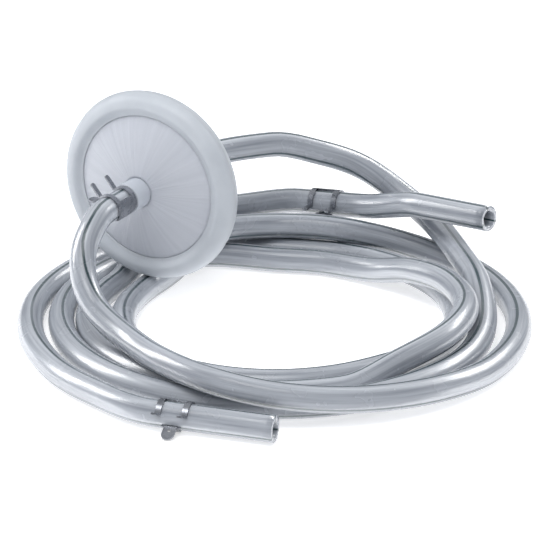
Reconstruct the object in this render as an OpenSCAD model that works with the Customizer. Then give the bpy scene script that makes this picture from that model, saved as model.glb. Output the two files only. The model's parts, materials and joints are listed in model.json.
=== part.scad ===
// Inline priming pump with two coiled transfer hoses.
// Origin: centre of the pump body on its flow axis.  The flow axis is Y, the front spigot
// points to -Y, +Z is up and the hoses lie on the plane z = -pump_height.

/* [Pump body] */
// Radius of the pump body over its rounded rim
body_r = 47.6; // [47:0.2:48]
// Radius of the rim's rounded outer edge
rim_round = 6; // [5.6:0.1:6.2]
// Distance of the rim's widest point from the middle plane
rim_half = 7; // [6.8:0.1:7.4]
// Distance of the rim's inner lip from the middle plane
rim_lip = 4.6; // [4.4:0.1:5]
// Wall of the moulded shells
shell_wall = 1.4; // [1:0.1:1.6]
// Radius where the flexible face meets the rim
face_r = 36.8; // [36.5:0.1:37.2]
// Distance of the face's outer edge from the middle plane
face_edge = 4.1; // [3.8:0.1:4.3]
// Distance of the face's centre from the middle plane
face_peak = 12.7; // [12:0.1:14]
// How far the face bulges over a straight cone
face_bulge = 1.2; // [0.5:0.1:2]
// Height of the pump axis over the surface the hoses lie on
pump_height = 60.6; // [60.6:0.2:61.4]

/* [Spigots and valves] */
// Radius of the boss that each spigot grows from
boss_r = 7.4; // [7:0.1:8]
// Distance of the boss's end from the middle plane
boss_end = 24; // [24:0.5:25]
// Length of the barbed spigot
spigot_len = 16; // [14:0.5:17]
// Radius of the flow bore through the spigot
flow_r = 2.4; // [2:0.1:2.6]
// Radius of the check ball
ball_r = 3.2; // [3:0.1:3.4]
// Travel of the check ball off its seat
ball_lift = 1.5; // [1:0.1:1.6]

/* [Hose] */
// Outer diameter of the hoses
hose_od = 12.7; // [12.6:0.1:12.7]
// Inner diameter of the hoses
hose_id = 7.9; // [7.8:0.1:8]
// Depth of the open bore modelled at each free end
end_bore = 40; // [30:1:42]

/* [Hose clamps] */
// Thickness of the spring strip
strip_t = 0.8; // [0.6:0.1:0.9]
// Width of the strip at its widest
strip_w = 15.5; // [14:0.5:16]
// Width of the tongue that passes through the fork
tongue_w = 6.2; // [5.5:0.1:6.4]
// Width of each leg of the fork
leg_w = 2.8; // [2.4:0.1:3]
// Length of the squeeze ears
ear_len = 8; // [6:0.5:9]

/* [Hidden] */
fine = 96;
hose_r = hose_od / 2;
bore_r = hose_id / 2;
boss_base = face_peak - shell_wall;
valve_r = 5;
valve_in = boss_base;
valve_out = boss_end - 1.3;
seat_h = 2.5;
seat_r = 2.2;
cage_h = 1.5;
seat_gap = 0.03;
barb_rise = 0.35;
barb_pitch = 4;
cuff_end = 42;
clamp_gap = 0.15;
hose_sides = 10;

// Routes. Coil stations are [angle, radius, height over the floor] about the coil's centre,
// and every other point is [x, y, z] in the pump's frame.
coil_x = 73.5;
coil_y = -6;
lay = 6.4;
front_lead = [[0, -24, 0], [0, -42, 0], [0.5, -54, -4], [2, -65, -13.5], [8, -73.5, -24.5], [19, -80, -34]];
front_turns = [
    [250, 89, 20], [268, 97, 19.6], [286, 108, 19], [302, 112.5, 15.5], [320, 115, 12],
    [340, 117, 9], [360, 118, lay], [380, 118, lay], [400, 118, lay], [420, 117, 7],
    [440, 111, 10.5], [460, 95, 18.8], [480, 93, 19.2], [500, 88.5, 20.5], [520, 79.5, 8],
    [540, 75, lay], [560, 74, lay], [580, 74, lay], [600, 75, lay], [620, 76, lay],
    [640, 76, lay], [660, 76, lay], [680, 76, lay], [700, 77, lay], [720, 82, lay],
    [740, 87, lay], [760, 89, lay], [780, 91, lay], [800, 92, lay], [820, 92, lay],
    [840, 93.5, lay], [860, 106, lay], [880, 118.5, lay], [900, 119, lay], [920, 119, lay],
    [940, 118.5, lay], [960, 119.5, lay], [976, 121, 6.6]];
front_free = [[83, -130.5, -53.6], [138.5, -118.5, -53.6]];
rear_lead = [[0, 24, 0], [0, 42, 0], [7, 60, 0], [22, 79, 0], [41, 95.5, -6], [58, 110, -15.5]];
rear_arch = [[79.5, 114.5, -28.5], [101, 107.5, -37], [126, 87, -42], [147, 66, -46]];
rear_turns = [
    [20, 101.5, 8.5], [0, 102, lay], [-20, 102, lay], [-40, 102.5, lay], [-60, 102.5, lay],
    [-80, 102.5, lay], [-100, 102.5, lay], [-120, 102.5, lay], [-140, 103, lay], [-160, 104.5, lay],
    [-180, 105.5, lay], [-200, 103.5, lay], [-220, 91, lay], [-240, 79, lay], [-260, 78.5, lay],
    [-280, 77.5, 8.5], [-300, 79, 16], [-320, 86, 19.5], [-340, 93, 20], [-360, 94.5, 19],
    [-380, 90.5, 14], [-400, 89.3, lay], [-420, 89.3, lay], [-440, 89.3, lay], [-460, 89.3, lay],
    [-480, 89.3, lay], [-500, 90, lay], [-520, 91, lay], [-540, 91, lay], [-560, 95.5, 18.5],
    [-580, 109, 22]];
rear_rise = [[6, 84.5, -37.5], [28, 99.5, -36], [55, 102, -34], [69, 100.5, -31.5], [85, 96.5, -26.5]];
rear_free = [[100.5, 91.5, -22], [143.5, 83, -18]];

function station(s) = [coil_x + s[1] * cos(s[0]), coil_y + s[1] * sin(s[0]), s[2] - pump_height];
front_route = concat(front_lead, [for (s = front_turns) station(s)], front_free);
rear_route = concat(rear_lead, rear_arch, [for (s = rear_turns) station(s)], rear_rise, rear_free);
front_last = len(front_route) - 1;
rear_last = len(rear_route) - 1;
front_split = len(front_lead) - 1;
rear_split = len(rear_lead) - 1;
rear_clamp_at = len(rear_route) - 6;

function unit(v) = v / norm(v);
// Direction of a route at point i: straight over its first and last stretch
function heading(p, i, last) =
    i <= 1 ? unit(p[1] - p[0])
    : i >= last - 1 ? unit(p[last] - p[last - 1])
    : unit(p[i + 1] - p[i - 1]);
// One ring of a swept hose, its first axis level with the floor
function ring(p, i, last) =
    let (t = heading(p, i, last), a = unit(cross(t, [0, 0, 1])), b = cross(a, t))
    [for (k = [0 : hose_sides - 1])
        let (w = 360 * (k + 0.5) / hose_sides) p[i] + hose_r * (cos(w) * a + sin(w) * b)];

// Hose swept along route points first..stop
module hose_sweep(p, first, stop) {
    last = len(p) - 1;
    n = hose_sides;
    rings = stop - first;
    points = [for (i = [first : stop]) each ring(p, i, last)];
    near = [for (i = [0 : rings - 1], k = [0 : n - 1])
        [i * n + k, i * n + (k + 1) % n, (i + 1) * n + (k + 1) % n]];
    far = [for (i = [0 : rings - 1], k = [0 : n - 1])
        [i * n + k, (i + 1) * n + (k + 1) % n, (i + 1) * n + k]];
    caps = [[for (k = [n - 1 : -1 : 0]) k], [for (k = [0 : n - 1]) rings * n + k]];
    color([0.74, 0.77, 0.8, 0.5]) polyhedron(points = points, faces = concat(near, far, caps));
}

// Places children with their Z axis along a to b and their X axis as near to +Z as it goes
module along(a, b) {
    t = unit(b - a);
    u = unit([0, 0, 1] - t[2] * t);
    v = cross(t, u);
    multmatrix([[u[0], v[0], t[0], a[0]], [u[1], v[1], t[1], a[1]], [u[2], v[2], t[2], a[2]],
                [0, 0, 0, 1]]) children();
}

// Turns a profile drawn as [radius, distance from the middle plane] about the flow axis
module front() { rotate([90, 0, 0]) children(); }
module rear() { rotate([-90, 0, 0]) children(); }

// ---- Pump body ----
// Rim section: a rounded outer edge, then a slow dip to the lip that holds the face
function rim_edge(r, top, round, turns = 12) =
    [for (k = [0 : turns]) let (a = 90 * k / turns) [r + round * cos(a), top - round + round * sin(a)]];
function rim_dip(r0, r1, top, low, turns = 10) =
    [for (k = [1 : turns]) let (f = k / turns) [r0 + f * (r1 - r0), top - (top - low) * (1 - cos(180 * f)) / 2]];

module rim_half_shell() {
    mid = body_r - rim_round;
    bead = 0.4;
    floor_s = face_edge - shell_wall;
    outer = concat([[body_r, 0], [body_r + bead, 0], [body_r + bead, 0.5]],
                   rim_edge(mid, rim_half, rim_round), rim_dip(mid, face_r, rim_half, rim_lip));
    inner = concat(rim_edge(mid, rim_half - shell_wall, rim_round - shell_wall),
                   rim_dip(mid, face_r + shell_wall, rim_half - shell_wall, rim_lip - shell_wall));
    rotate_extrude($fn = fine)
        polygon(concat(outer, [[face_r, floor_s], [face_r + shell_wall, floor_s]],
                       [for (k = [len(inner) - 1 : -1 : 0]) inner[k]], [[mid + rim_round - shell_wall, 0]]));
}

// Flexible face: an arc through its edge and peak that bulges by face_bulge
module flex_face() {
    span = [face_r - boss_r, face_edge - face_peak];
    steps = 16;
    outer = [for (k = [0 : steps]) let (f = k / steps)
        [boss_r + f * span[0], face_peak + f * span[1] + 4 * face_bulge * f * (1 - f)]];
    inner = [for (k = [steps : -1 : 0]) outer[k] - [0, shell_wall]];
    color([0.86, 0.88, 0.91]) rotate_extrude($fn = fine) polygon(concat(outer, inner));
}

module hub_spigot() {
    color([0.84, 0.86, 0.9]) rotate_extrude($fn = fine) difference() {
        union() {
            translate([0, boss_base]) square([boss_r, boss_end - boss_base]);
            translate([0, boss_end]) square([bore_r, spigot_len]);
            for (k = [0 : 2]) translate([0, boss_end + 3 + k * barb_pitch])
                polygon([[0, 0], [bore_r + barb_rise, 0], [bore_r, 3], [0, 3]]);
        }
        square([flow_r, 100]);
        translate([0, valve_in - 1]) square([valve_r, 1 + valve_out - valve_in]);
    }
}

// Ring with a conical seat; its narrow mouth faces +Z at height h
module valve_seat(h) {
    color([0.25, 0.27, 0.3]) translate([0, 0, h - seat_h]) difference() {
        cylinder(r = valve_r, h = seat_h, $fn = fine);
        translate([0, 0, -1]) cylinder(r = seat_r, h = seat_h + 2, $fn = fine);
    }
}

module valve_ball(h) {
    color([0.9, 0.9, 0.92]) translate([0, 0, h]) sphere(r = ball_r, $fn = fine);
}

module valve_cage(h) {
    hole_r = 1.1;
    hole_at = 3.2;
    color([0.8, 0.82, 0.85]) translate([0, 0, h]) difference() {
        cylinder(r = valve_r, h = cage_h, $fn = fine);
        for (a = [0 : 60 : 300]) rotate(a) translate([hole_at, 0, -1])
            cylinder(r = hole_r, h = cage_h + 2, $fn = 24);
    }
}

// Height of the ball's centre over the edge of its seat
ball_over = sqrt(ball_r * ball_r - seat_r * seat_r) + seat_gap;
outlet_seat_top = valve_in + seat_h;
inlet_seat_top = valve_out - seat_h;

// ---- Hoses ----
module hose_cuff() {
    color([0.74, 0.77, 0.8, 0.5]) translate([0, 0, boss_end]) difference() {
        cylinder(r = hose_r, h = cuff_end - boss_end, $fn = fine);
        translate([0, 0, -1]) cylinder(r = bore_r, h = cuff_end - boss_end + 2, $fn = fine);
    }
}

module hose_free_end(p) {
    last = len(p) - 1;
    run = norm(p[last] - p[last - 1]);
    color([0.74, 0.77, 0.8, 0.5]) along(p[last - 1], p[last]) difference() {
        cylinder(r = hose_r, h = run, $fn = fine);
        translate([0, 0, run - end_bore]) cylinder(r = bore_r, h = end_bore + 1, $fn = fine);
    }
}

// ---- Spring clamp, its band round Z and its ears towards +X ----
band_r = hose_r + clamp_gap;
ear_at = 24;

// Flat squeeze ear with a round tip, standing out from the band along X
module ear(width) {
    r = width / 2;
    tip = [for (a = [-90 : 15 : 90]) [ear_len - r + r * cos(a), r * sin(a)]];
    translate([band_r + strip_t / 2, strip_t / 2, 0]) rotate([90, 0, 0]) linear_extrude(strip_t)
        polygon(concat([[0, r], [0, -r]], tip));
}

// The strip is full width at its back.  It tapers to the tongue on the -Y side and is slotted
// into a fork on the +Y side, and the tongue's ear passes between the fork's two.
module spring_clamp() {
    half = strip_w / 2;
    fork_gap = half - leg_w;
    far = 20;
    color([0.62, 0.64, 0.67]) difference() {
        union() {
            difference() {
                translate([0, 0, -half]) cylinder(r = band_r + strip_t, h = strip_w, $fn = fine);
                translate([0, 0, -half - 1]) cylinder(r = band_r, h = strip_w + 2, $fn = fine);
                translate([0, 0, -half - 1]) linear_extrude(strip_w + 2)
                    polygon([[0, 0], [far, -far * tan(ear_at)], [far, far * tan(ear_at)]]);
                for (s = [0, 1]) mirror([0, 0, s]) rotate([90, 0, 90])
                    translate([0, 0, -far]) linear_extrude(2 * far)
                        polygon([[-far, tongue_w / 2], [-5, tongue_w / 2], [3, half + 1], [-far, half + 1]]);
                translate([-3, 0, -fork_gap]) cube([far, far, 2 * fork_gap]);
            }
            rotate([0, 0, -ear_at]) ear(tongue_w);
            for (s = [-1, 1]) translate([0, 0, s * (half - leg_w / 2)]) rotate([0, 0, ear_at]) ear(leg_w);
        }
        rotate([0, 0, -ear_at]) translate([band_r + 3, 2, 0]) rotate([90, 0, 0])
            cylinder(r = 0.9, h = 4, $fn = 24);
    }
}

// Puts a clamp's middle at distance d from a towards b, its ears turned by spin from straight
// up and its fork on the upper side
module clamp_on(a, b, d, spin) {
    along(a, b) translate([0, 0, d]) rotate([0, 0, spin]) rotate([180, 0, 0]) spring_clamp();
}

// ---- Nodes ----
module front_rim_shell() { color([0.8, 0.82, 0.86]) front() rim_half_shell(); }
module rear_rim_shell() { color([0.8, 0.82, 0.86]) rear() rim_half_shell(); }
module front_flex_face() { front() flex_face(); }
module rear_flex_face() { rear() flex_face(); }
module front_hub_spigot() { front() hub_spigot(); }
module rear_hub_spigot() { rear() hub_spigot(); }
module outlet_valve_seat() { front() valve_seat(outlet_seat_top); }
module outlet_valve_ball() { front() valve_ball(outlet_seat_top + ball_over); }
module outlet_valve_cage() { front() valve_cage(valve_out - cage_h); }
module inlet_valve_seat() { rear() valve_seat(valve_out); }
module inlet_valve_ball() { rear() valve_ball(inlet_seat_top - ball_over); }
module inlet_valve_cage() { rear() valve_cage(valve_in); }
module front_hose_cuff() { front() hose_cuff(); }
module front_hose_lead() { hose_sweep(front_route, 1, front_split); }
module front_hose_coil() { hose_sweep(front_route, front_split, front_last - 1); }
module front_hose_free_end() { hose_free_end(front_route); }
module rear_hose_cuff() { rear() hose_cuff(); }
module rear_hose_lead() { hose_sweep(rear_route, 1, rear_split); }
module rear_hose_coil() { hose_sweep(rear_route, rear_split, rear_last - 1); }
module rear_hose_free_end() { hose_free_end(rear_route); }
module front_spigot_clamp() { clamp_on(front_route[0], front_route[1], 8.5, 64); }
module rear_spigot_clamp() { clamp_on(rear_route[0], rear_route[1], 8.5, -64); }
module front_end_clamp() { clamp_on(front_free[0], front_free[1], 9, 90); }
module rear_end_clamp() { clamp_on(rear_route[rear_clamp_at], rear_route[rear_clamp_at + 1], 14.5, 111); }

front_rim_shell();
rear_rim_shell();
front_flex_face();
rear_flex_face();
front_hub_spigot();
rear_hub_spigot();
outlet_valve_seat();
outlet_valve_ball();
outlet_valve_cage();
inlet_valve_seat();
inlet_valve_ball();
inlet_valve_cage();
front_hose_cuff();
front_hose_lead();
front_hose_coil();
front_hose_free_end();
rear_hose_cuff();
rear_hose_lead();
rear_hose_coil();
rear_hose_free_end();
front_spigot_clamp();
rear_spigot_clamp();
front_end_clamp();
rear_end_clamp();
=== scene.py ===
# Looks of the inline priming pump and its two coiled hoses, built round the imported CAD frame.
import json
import math
import bmesh
import bpy
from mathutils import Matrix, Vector


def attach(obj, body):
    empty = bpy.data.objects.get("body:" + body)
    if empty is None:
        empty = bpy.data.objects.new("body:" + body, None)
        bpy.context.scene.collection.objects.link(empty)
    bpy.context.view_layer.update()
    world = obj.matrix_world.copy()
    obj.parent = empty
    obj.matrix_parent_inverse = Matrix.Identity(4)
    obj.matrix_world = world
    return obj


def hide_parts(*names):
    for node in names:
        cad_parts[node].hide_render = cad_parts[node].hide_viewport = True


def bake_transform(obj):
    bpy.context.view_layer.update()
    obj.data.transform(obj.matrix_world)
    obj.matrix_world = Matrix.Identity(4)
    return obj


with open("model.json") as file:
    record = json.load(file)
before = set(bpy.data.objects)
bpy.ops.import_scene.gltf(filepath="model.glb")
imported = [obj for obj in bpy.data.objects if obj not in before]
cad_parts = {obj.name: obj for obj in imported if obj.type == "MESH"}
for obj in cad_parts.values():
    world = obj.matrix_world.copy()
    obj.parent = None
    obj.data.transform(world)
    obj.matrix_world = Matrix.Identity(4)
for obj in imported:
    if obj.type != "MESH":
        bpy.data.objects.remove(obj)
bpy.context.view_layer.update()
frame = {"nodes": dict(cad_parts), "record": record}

MM = 0.001
PUMP_HEIGHT = 60.6
COIL_CENTRE = (73.5, -6)
HOSE_R = 6.35
BORE_R = 3.95
# Height of a hose's centreline where it lies on the floor
LAY = 6.4

# ---- Hose routes, the same points as in part.scad, in millimetres ----
# Coil stations are (angle, radius, height over the floor) about the coil's centre.
FRONT_LEAD = [(0, -24, 0), (0, -42, 0), (0.5, -54, -4), (2, -65, -13.5), (8, -73.5, -24.5), (19, -80, -34)]
FRONT_TURNS = [
    (250, 89, 20), (268, 97, 19.6), (286, 108, 19), (302, 112.5, 15.5), (320, 115, 12),
    (340, 117, 9), (360, 118, LAY), (380, 118, LAY), (400, 118, LAY), (420, 117, 7),
    (440, 111, 10.5), (460, 95, 18.8), (480, 93, 19.2), (500, 88.5, 20.5), (520, 79.5, 8),
    (540, 75, LAY), (560, 74, LAY), (580, 74, LAY), (600, 75, LAY), (620, 76, LAY),
    (640, 76, LAY), (660, 76, LAY), (680, 76, LAY), (700, 77, LAY), (720, 82, LAY),
    (740, 87, LAY), (760, 89, LAY), (780, 91, LAY), (800, 92, LAY), (820, 92, LAY),
    (840, 93.5, LAY), (860, 106, LAY), (880, 118.5, LAY), (900, 119, LAY), (920, 119, LAY),
    (940, 118.5, LAY), (960, 119.5, LAY), (976, 121, 6.6)]
FRONT_FREE = [(83, -130.5, -53.6), (138.5, -118.5, -53.6)]
REAR_LEAD = [(0, 24, 0), (0, 42, 0), (7, 60, 0), (22, 79, 0), (41, 95.5, -6), (58, 110, -15.5)]
REAR_ARCH = [(79.5, 114.5, -28.5), (101, 107.5, -37), (126, 87, -42), (147, 66, -46)]
REAR_TURNS = [
    (20, 101.5, 8.5), (0, 102, LAY), (-20, 102, LAY), (-40, 102.5, LAY), (-60, 102.5, LAY),
    (-80, 102.5, LAY), (-100, 102.5, LAY), (-120, 102.5, LAY), (-140, 103, LAY), (-160, 104.5, LAY),
    (-180, 105.5, LAY), (-200, 103.5, LAY), (-220, 91, LAY), (-240, 79, LAY), (-260, 78.5, LAY),
    (-280, 77.5, 8.5), (-300, 79, 16), (-320, 86, 19.5), (-340, 93, 20), (-360, 94.5, 19),
    (-380, 90.5, 14), (-400, 89.3, LAY), (-420, 89.3, LAY), (-440, 89.3, LAY), (-460, 89.3, LAY),
    (-480, 89.3, LAY), (-500, 90, LAY), (-520, 91, LAY), (-540, 91, LAY), (-560, 95.5, 18.5),
    (-580, 109, 22)]
REAR_RISE = [(6, 84.5, -37.5), (28, 99.5, -36), (55, 102, -34), (69, 100.5, -31.5), (85, 96.5, -26.5)]
REAR_FREE = [(100.5, 91.5, -22), (143.5, 83, -18)]


def station(angle, radius, height):
    a = math.radians(angle)
    return (COIL_CENTRE[0] + radius * math.cos(a), COIL_CENTRE[1] + radius * math.sin(a),
            height - PUMP_HEIGHT)


def metres(points):
    return [Vector(p) * MM for p in points]


FRONT_ROUTE = metres(FRONT_LEAD + [station(*s) for s in FRONT_TURNS] + FRONT_FREE)
REAR_ROUTE = metres(REAR_LEAD + REAR_ARCH + [station(*s) for s in REAR_TURNS] + REAR_RISE + REAR_FREE)


# ---- Camera, on the side the hoses' open ends face ----
CAMERA_AZIMUTH = 30
CAMERA_ELEVATION = 22
CAMERA_DISTANCE = 1.8
CAMERA_LENS = 244
SENSOR_WIDTH = 36
LOOK_AT = Vector((*COIL_CENTRE, -30.9)) * MM


def add_camera():
    azimuth, elevation = math.radians(CAMERA_AZIMUTH), math.radians(CAMERA_ELEVATION)
    back = Vector((math.sin(azimuth) * math.cos(elevation), -math.cos(azimuth) * math.cos(elevation),
                   math.sin(elevation)))
    data = bpy.data.cameras.new("camera")
    data.lens = CAMERA_LENS
    data.sensor_width = SENSOR_WIDTH
    data.clip_end = 50
    camera = bpy.data.objects.new("camera", data)
    camera.location = LOOK_AT + back * CAMERA_DISTANCE
    camera.rotation_euler = (-back).to_track_quat("-Z", "Y").to_euler()
    bpy.context.scene.collection.objects.link(camera)
    bpy.context.scene.camera = camera


add_camera()


# ---- Materials ----
# Places of the thin painted dark lines round a hose's section, painted refraction at its edges and painted
# shade between the turns, from straight outwards, in degrees, and the cosines at which a line starts and
# is full
PAINTED_DARK_LINE_ANGLES = (97, -30, 208)
PAINTED_LINE_EDGE = math.cos(math.radians(8))
PAINTED_LINE_CORE = math.cos(math.radians(3))


def new_material(name):
    material = bpy.data.materials.new(name)
    material.use_nodes = True
    tree = material.node_tree
    shader = tree.nodes["Principled BSDF"]
    return material, tree, shader


def add_node(tree, kind, **sockets):
    node = tree.nodes.new(kind)
    for key, value in sockets.items():
        node.inputs[key.replace("_", " ")].default_value = value
    return node


def noise(tree, scale, detail=3.0, source=None, roughness=0.5):
    node = add_node(tree, "ShaderNodeTexNoise", Scale=scale, Detail=detail, Roughness=roughness)
    if source is None:
        source = tree.nodes.new("ShaderNodeTexCoord").outputs["Object"]
    tree.links.new(source, node.inputs["Vector"])
    return node


def tint(tree, factor, low, high):
    ramp = tree.nodes.new("ShaderNodeValToRGB")
    ramp.color_ramp.elements[0].position = 0.3
    ramp.color_ramp.elements[1].position = 0.7
    ramp.color_ramp.elements[0].color = (*low, 1)
    ramp.color_ramp.elements[1].color = (*high, 1)
    tree.links.new(factor, ramp.inputs["Fac"])
    return ramp.outputs["Color"]


def vary(tree, factor, low, high, target):
    spread = add_node(tree, "ShaderNodeMapRange")
    spread.inputs["To Min"].default_value = low
    spread.inputs["To Max"].default_value = high
    tree.links.new(factor, spread.inputs["Value"])
    tree.links.new(spread.outputs["Result"], target)


def math_node(tree, operation, *values):
    node = tree.nodes.new("ShaderNodeMath")
    node.operation = operation
    for socket, value in zip(node.inputs, values):
        if isinstance(value, (int, float)):
            socket.default_value = value
        else:
            tree.links.new(value, socket)
    return node.outputs[0]


def vector_node(tree, operation, source, constant=None):
    node = tree.nodes.new("ShaderNodeVectorMath")
    node.operation = operation
    tree.links.new(source, node.inputs[0])
    if constant is not None:
        node.inputs[1].default_value = constant
    return node


def bump(tree, shader, height, strength, distance, normal=None):
    node = add_node(tree, "ShaderNodeBump", Strength=strength, Distance=distance)
    tree.links.new(height, node.inputs["Height"])
    if normal is not None:
        tree.links.new(normal, node.inputs["Normal"])
    tree.links.new(node.outputs["Normal"], shader.inputs["Normal"])


def radial_sheen_streaks(tree):
    """Noise that changes round the flow axis and not along the radius: radial streaks, painted highlight
    streaks where they tint the colour and a ripple where they drive the bump.
    """
    coords = tree.nodes.new("ShaderNodeTexCoord")
    split = tree.nodes.new("ShaderNodeSeparateXYZ")
    tree.links.new(coords.outputs["Object"], split.inputs["Vector"])
    join = tree.nodes.new("ShaderNodeCombineXYZ")
    tree.links.new(math_node(tree, "ARCTAN2", split.outputs["X"], split.outputs["Z"]), join.inputs["X"])
    return noise(tree, 9.0, 3.0, join.outputs["Vector"], 0.6).outputs["Fac"]


def milky_plastic(name, low, high, rough, spoke_strength=0):
    material, tree, shader = new_material(name)
    # On the face the colour follows the radial streaks, which are painted highlight streaks; on the shell
    # and hub it is random mottle.
    pattern = radial_sheen_streaks(tree) if spoke_strength else noise(tree, 60.0, 4.0).outputs["Fac"]
    tree.links.new(tint(tree, pattern, low, high), shader.inputs["Base Color"])
    shader.inputs["Roughness"].default_value = rough
    shader.inputs["IOR"].default_value = 1.5
    shader.inputs["Specular IOR Level"].default_value = 0.45
    shader.inputs["Subsurface Weight"].default_value = 0.35
    shader.inputs["Subsurface Radius"].default_value = (1.0, 1.0, 1.0)
    shader.inputs["Subsurface Scale"].default_value = 0.003
    grain = noise(tree, 900.0, 2.0)
    fine = add_node(tree, "ShaderNodeBump", Strength=0.12, Distance=0.0002)
    tree.links.new(grain.outputs["Fac"], fine.inputs["Height"])
    if spoke_strength:
        bump(tree, shader, pattern, spoke_strength, 0.0006, fine.outputs["Normal"])
    else:
        tree.links.new(fine.outputs["Normal"], shader.inputs["Normal"])
    return material


def draw_painted_dark_lines(tree, around, degrees):
    """One thin painted dark line along the hose for each angle round its section, 1 on the line and 0 off
    it.
    """
    flat = vector_node(tree, "MULTIPLY", around, (1, 1, 0))
    unit = vector_node(tree, "NORMALIZE", flat.outputs[0])
    found = 0
    for angle in degrees:
        a = math.radians(angle)
        dot = vector_node(tree, "DOT_PRODUCT", unit.outputs[0], (math.cos(a), math.sin(a), 0))
        edge = add_node(tree, "ShaderNodeMapRange")
        edge.inputs["From Min"].default_value = PAINTED_LINE_EDGE
        edge.inputs["From Max"].default_value = PAINTED_LINE_CORE
        tree.links.new(dot.outputs["Value"], edge.inputs["Value"])
        found = math_node(tree, "MAXIMUM", found, edge.outputs["Result"])
    return found


def mix_colours(tree, factor, base, over):
    """The base colour socket, covered by the constant colour over where factor is 1."""
    mix = tree.nodes.new("ShaderNodeMix")
    mix.data_type = "RGBA"
    colours = [socket for socket in mix.inputs if socket.type == "RGBA"]
    tree.links.new(factor, mix.inputs["Factor"])
    tree.links.new(base, colours[0])
    colours[1].default_value = over
    return [socket for socket in mix.outputs if socket.type == "RGBA"][0]


def clear_vinyl():
    """Hazy tube with painted highlight streaks and painted dark lines along it; the attribute "around" is
    written by lay_around.
    """
    material, tree, shader = new_material("clear_vinyl")
    around = tree.nodes.new("ShaderNodeAttribute")
    around.attribute_name = "around"
    stretch = vector_node(tree, "MULTIPLY", around.outputs["Vector"], (1, 1, 5))
    # Lighter streaks along the hose in its colour, over its milky tone: painted highlight streaks.
    streak = noise(tree, 2.6, 3.0, stretch.outputs[0], 0.6).outputs["Fac"]
    haze_and_sheen = tint(tree, streak, (0.27, 0.29, 0.33), (0.55, 0.58, 0.63))
    patchy = noise(tree, 12.0, 2.0).outputs["Fac"]
    # The dark lines are painted refraction at the hose's edges and painted shade between the turns, broken
    # up by noise.
    lines = math_node(tree, "MULTIPLY", draw_painted_dark_lines(tree, around.outputs["Vector"], PAINTED_DARK_LINE_ANGLES), patchy)
    lines = math_node(tree, "MULTIPLY", lines, 2.2)
    colour = mix_colours(tree, lines, haze_and_sheen, (0.03, 0.06, 0.07, 1))
    tree.links.new(colour, shader.inputs["Base Color"])
    shader.inputs["Transmission Weight"].default_value = 0.22
    shader.inputs["IOR"].default_value = 1.45
    shader.inputs["Specular IOR Level"].default_value = 0.4
    vary(tree, noise(tree, 90.0, 2.0).outputs["Fac"], 0.2, 0.32, shader.inputs["Roughness"])
    bump(tree, shader, streak, 0.12, 0.0006)
    return material


def spring_steel():
    material, tree, shader = new_material("spring_steel")
    stain = noise(tree, 120.0, 4.0).outputs["Fac"]
    tree.links.new(tint(tree, stain, (0.20, 0.21, 0.23), (0.36, 0.37, 0.40)), shader.inputs["Base Color"])
    shader.inputs["Metallic"].default_value = 1.0
    scuff = noise(tree, 300.0, 3.0).outputs["Fac"]
    vary(tree, scuff, 0.18, 0.38, shader.inputs["Roughness"])
    bump(tree, shader, scuff, 0.08, 0.0002)
    return material


def plain_inner(name, low, high, rough):
    """Matt material of the parts inside the pump."""
    material, tree, shader = new_material(name)
    mottle = noise(tree, 200.0, 3.0).outputs["Fac"]
    tree.links.new(tint(tree, mottle, low, high), shader.inputs["Base Color"])
    shader.inputs["Roughness"].default_value = rough
    bump(tree, shader, mottle, 0.1, 0.0002)
    return material


SHELL = milky_plastic("pe_shell", (0.50, 0.53, 0.57), (0.56, 0.59, 0.63), 0.42)
FACE = milky_plastic("pe_face", (0.52, 0.54, 0.59), (0.58, 0.60, 0.65), 0.3, 0.9)
HUB = milky_plastic("pe_hub", (0.50, 0.53, 0.58), (0.56, 0.59, 0.64), 0.28)
VINYL = clear_vinyl()
STEEL = spring_steel()
RUBBER = plain_inner("seat_rubber", (0.02, 0.02, 0.022), (0.05, 0.05, 0.055), 0.7)
VALVE = plain_inner("valve_plastic", (0.7, 0.72, 0.74), (0.82, 0.83, 0.85), 0.3)

SLOT_MATERIAL = {"pe_shell": SHELL, "pe_face": FACE, "pe_hub": HUB, "hose_vinyl": VINYL,
                 "spring_steel": STEEL, "seat_rubber": RUBBER, "valve_plastic": VALVE}


def dress_cad_nodes():
    for part in frame["record"]["subparts"]:
        node = frame["nodes"][part["node"]]
        node.data.materials.clear()
        node.data.materials.append(SLOT_MATERIAL[part["material_slot"]])


dress_cad_nodes()


# ---- Meshes ----
def new_piece(name, verts, faces, material):
    mesh = bpy.data.meshes.new(name)
    mesh.from_pydata(verts, [], faces)
    mesh.validate()
    mesh.update()
    mesh.polygons.foreach_set("use_smooth", [True] * len(mesh.polygons))
    mesh.materials.append(material)
    piece = bpy.data.objects.new(name, mesh)
    bpy.context.scene.collection.objects.link(piece)
    return piece


def headings(route, straight):
    """Direction at each route point; the stretches that start at the points in straight stay straight."""
    last = len(route) - 1
    found = []
    for i in range(last + 1):
        low, high = max(i - 1, 0), min(i + 1, last)
        if i in straight:
            low, high = i, i + 1
        elif i - 1 in straight:
            low, high = i - 1, i
        way = route[high] - route[low]
        before, after = route[i].z - route[low].z, route[high].z - route[i].z
        if low < i < high and before * after <= 0:
            way.z = 0
        found.append(way.normalized())
    return found


def smooth_line(route, straight, step=0.004):
    """Dense points along one smooth curve through the route, and where each route point falls in them."""
    tangents = headings(route, straight)
    points, marks = [route[0].copy()], [0]
    for i in range(len(route) - 1):
        a, b = route[i], route[i + 1]
        reach = (b - a).length
        ta, tb = tangents[i] * reach, tangents[i + 1] * reach
        count = max(2, round(reach / step))
        for k in range(1, count + 1):
            t = k / count
            points.append((2 * t**3 - 3 * t**2 + 1) * a + (t**3 - 2 * t**2 + t) * ta
                          + (3 * t**2 - 2 * t**3) * b + (t**3 - t**2) * tb)
        marks.append(len(points) - 1)
    return points, marks


def line_length(points):
    return sum((b - a).length for a, b in zip(points, points[1:]))


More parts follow.
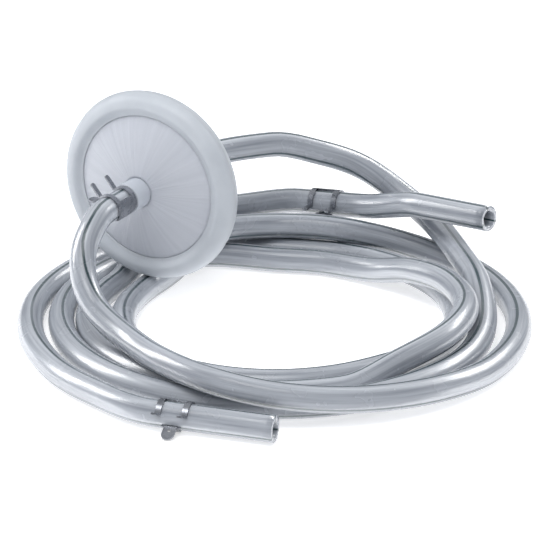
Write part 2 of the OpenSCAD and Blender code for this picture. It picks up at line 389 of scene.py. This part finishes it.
def tube_mesh(name, points, frames, open_start, open_end, first_length, turn_sign, sides=28):
    """Hollow hose along points, with its cut rims closed only where the real hose is cut."""
    verts, faces = [], []
    n = len(points)
    for radius in (HOSE_R * MM, BORE_R * MM):
        for p, (across, up) in zip(points, frames):
            for k in range(sides):
                w = 2 * math.pi * k / sides
                verts.append(p + radius * (math.cos(w) * across + math.sin(w) * up))
    inner = n * sides
    for i in range(n - 1):
        for k in range(sides):
            j = (k + 1) % sides
            a, b, c, d = i * sides + k, i * sides + j, (i + 1) * sides + j, (i + 1) * sides + k
            faces.append((a, b, c, d))
            faces.append((inner + d, inner + c, inner + b, inner + a))
    for k in range(sides):
        j = (k + 1) % sides
        if open_start:
            faces.append((j, k, inner + k, inner + j))
        if open_end:
            e = (n - 1) * sides
            faces.append((e + k, e + j, inner + e + j, inner + e + k))
    piece = new_piece(name, verts, faces, VINYL)
    lay_around(piece, points, sides, first_length, turn_sign)
    return piece


def lay_around(piece, points, sides, first_length, turn_sign):
    """Stores where each point is round the hose and how far along it, for the painted highlight streaks
    and painted dark lines in the vinyl's colour.
    """
    layer = piece.data.attributes.new("around", "FLOAT_VECTOR", "POINT")
    lengths = [first_length]
    for a, b in zip(points, points[1:]):
        lengths.append(lengths[-1] + (b - a).length)
    for i, item in enumerate(layer.data):
        ring, k = divmod(i % (len(points) * sides), sides)
        w = 2 * math.pi * k / sides
        item.vector = (turn_sign * math.cos(w), math.sin(w), lengths[ring])


def level_frames(points):
    """Two directions across the hose at each point, the first of them level."""
    found = []
    for i in range(len(points)):
        t = (points[min(i + 1, len(points) - 1)] - points[max(i - 1, 0)]).normalized()
        across = t.cross(Vector((0, 0, 1))).normalized()
        found.append((across, across.cross(t)))
    return found


def add_hose(side, route, lead_count, straight):
    """A hose in two pieces: the stretch that leads from the pump's face, and the rest."""
    points, marks = smooth_line(route, straight)
    frames = level_frames(points)
    split = marks[lead_count - 1]
    turn_sign = 1 if side == "front" else -1
    lead, rest = points[:split + 1], points[split:]
    near = tube_mesh(side + "_hose_near", lead, frames[:split + 1], True, False, 0, turn_sign)
    run = tube_mesh(side + "_hose_run", rest, frames[split:], False, True, line_length(lead), turn_sign)
    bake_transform(near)
    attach(run, "pump_and_hoses")
    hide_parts(side + "_hose_cuff", side + "_hose_lead")
    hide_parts(side + "_hose_coil", side + "_hose_free_end")


front_last = len(FRONT_ROUTE) - 1
rear_last = len(REAR_ROUTE) - 1
# The rear parked clamp sits on the straight stretch after the first point of REAR_RISE
rear_clamp_at = len(REAR_ROUTE) - len(REAR_FREE) - len(REAR_RISE) + 1
add_hose("front", FRONT_ROUTE, len(FRONT_LEAD), {0, front_last - 1})
add_hose("rear", REAR_ROUTE, len(REAR_LEAD), {0, rear_clamp_at, rear_last - 1})


# ---- Pump body, the sizes of part.scad in millimetres ----
BODY_R, RIM_ROUND, RIM_HALF, RIM_LIP, WALL = 47.6, 6, 7, 4.6, 1.4
FACE_R, FACE_EDGE, FACE_PEAK, FACE_BULGE = 36.8, 4.1, 12.7, 1.2
BOSS_R = 7.4
BEAD, BEAD_HALF = 0.4, 0.5


def lathe(name, profile, sign, material, steps=192):
    """Closed profile of (radius, distance from the middle plane) turned about the flow axis."""
    count = len(profile)
    verts, faces = [], []
    for i in range(steps):
        w = 2 * math.pi * i / steps
        for r, s in profile:
            verts.append((r * MM * math.cos(w), sign * s * MM, r * MM * math.sin(w)))
    for i in range(steps):
        j = (i + 1) % steps
        for k in range(count):
            m = (k + 1) % count
            quad = (i * count + k, i * count + m, j * count + m, j * count + k)
            faces.append(quad if sign > 0 else quad[::-1])
    piece = new_piece(name, verts, faces, material)
    mend_normals(piece)
    return piece


def rim_edge(r, top, rounding, turns=16):
    quarter = [math.pi / 2 * k / turns for k in range(turns + 1)]
    return [(r + rounding * math.cos(a), top - rounding + rounding * math.sin(a)) for a in quarter]


def rim_dip(start, stop, top, low, turns=12):
    found = []
    for k in range(1, turns + 1):
        f = k / turns
        found.append((start + f * (stop - start), top - (top - low) * (1 - math.cos(math.pi * f)) / 2))
    return found


def rim_profile():
    """A rounded outer edge with a weld bead at the middle plane, then a slow dip to the lip."""
    mid = BODY_R - RIM_ROUND
    base = FACE_EDGE - WALL
    outer = [(BODY_R, 0), (BODY_R + BEAD, 0), (BODY_R + BEAD, BEAD_HALF)]
    outer += rim_edge(mid, RIM_HALF, RIM_ROUND) + rim_dip(mid, FACE_R, RIM_HALF, RIM_LIP)
    inner = rim_edge(mid, RIM_HALF - WALL, RIM_ROUND - WALL)
    inner += rim_dip(mid, FACE_R + WALL, RIM_HALF - WALL, RIM_LIP - WALL)
    return outer + [(FACE_R, base), (FACE_R + WALL, base)] + inner[::-1] + [(BODY_R - WALL, 0)]


def face_profile(steps=24):
    """A shallow bulging cone from the boss out to the rim, one wall thick."""
    outer = []
    for k in range(steps + 1):
        f = k / steps
        bulge = 4 * FACE_BULGE * f * (1 - f)
        outer.append((BOSS_R + f * (FACE_R - BOSS_R), FACE_PEAK + f * (FACE_EDGE - FACE_PEAK) + bulge))
    return outer + [(r, s - WALL) for r, s in reversed(outer)]


def mend_normals(piece):
    bm = bmesh.new()
    bm.from_mesh(piece.data)
    bmesh.ops.recalc_face_normals(bm, faces=bm.faces)
    bm.to_mesh(piece.data)
    bm.free()


for side, sign in (("front", -1), ("rear", 1)):
    rim = lathe(side + "_rim", rim_profile(), sign, SHELL)
    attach(rim, "pump_and_hoses")
    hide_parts(side + "_rim_shell")
    face = lathe(side + "_face_cone", face_profile(), sign, FACE)
    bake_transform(face)
    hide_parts(side + "_flex_face")


# ---- Stage ----
def add_floor():
    mesh = bpy.data.meshes.new("floor")
    reach = 8.0
    z = -PUMP_HEIGHT * MM
    corners = [(-reach, -reach, z), (reach, -reach, z), (reach, reach, z), (-reach, reach, z)]
    mesh.from_pydata(corners, [], [(0, 1, 2, 3)])
    floor = bpy.data.objects.new("floor", mesh)
    bpy.context.scene.collection.objects.link(floor)
    material, tree, shader = new_material("floor_white")
    shader.inputs["Base Color"].default_value = (0.85, 0.85, 0.86, 1)
    shader.inputs["Roughness"].default_value = 0.9
    shader.inputs["Specular IOR Level"].default_value = 0.0
    shader.inputs["Emission Color"].default_value = (1, 1, 1, 1)
    shader.inputs["Emission Strength"].default_value = 0.6
    mesh.materials.append(material)


def add_softbox(name, location, target, width, height, power):
    data = bpy.data.lights.new(name, "AREA")
    data.shape = "RECTANGLE"
    data.size = width
    data.size_y = height
    data.energy = power
    lamp = bpy.data.objects.new(name, data)
    lamp.location = location
    lamp.rotation_euler = (Vector(target) - Vector(location)).to_track_quat("-Z", "Y").to_euler()
    bpy.context.scene.collection.objects.link(lamp)


def add_world():
    """Light from above, fading to dark at the horizon, which gives the hoses their dark edges."""
    world = bpy.data.worlds.new("studio")
    world.use_nodes = True
    tree = world.node_tree
    coords = tree.nodes.new("ShaderNodeTexCoord")
    split = tree.nodes.new("ShaderNodeSeparateXYZ")
    tree.links.new(coords.outputs["Generated"], split.inputs["Vector"])
    ramp = tree.nodes.new("ShaderNodeValToRGB")
    ramp.color_ramp.elements[0].position = 0.05
    ramp.color_ramp.elements[0].color = (0.10, 0.12, 0.15, 1)
    ramp.color_ramp.elements[1].position = 0.7
    ramp.color_ramp.elements[1].color = (0.8, 0.82, 0.85, 1)
    tree.links.new(split.outputs["Z"], ramp.inputs["Fac"])
    tree.links.new(ramp.outputs["Color"], tree.nodes["Background"].inputs["Color"])
    tree.nodes["Background"].inputs["Strength"].default_value = 0.8
    bpy.context.scene.world = world


add_floor()
add_world()
add_softbox("key", (0.1, -0.6, 1.3), (0.07, 0, -0.03), 0.9, 0.5, 10)
add_softbox("left", (-1.2, -0.3, 0.7), (0, 0, -0.02), 0.5, 0.9, 6)
add_softbox("back", (0.5, 1.2, 0.9), (0.07, 0, -0.03), 1.0, 0.3, 5)

scene = bpy.context.scene
scene.view_settings.view_transform = "Standard"
scene.cycles.max_bounces = 24
scene.cycles.transmission_bounces = 24
scene.cycles.glossy_bounces = 8
scene.cycles.diffuse_bounces = 3
scene.cycles.caustics_reflective = False
scene.cycles.caustics_refractive = False
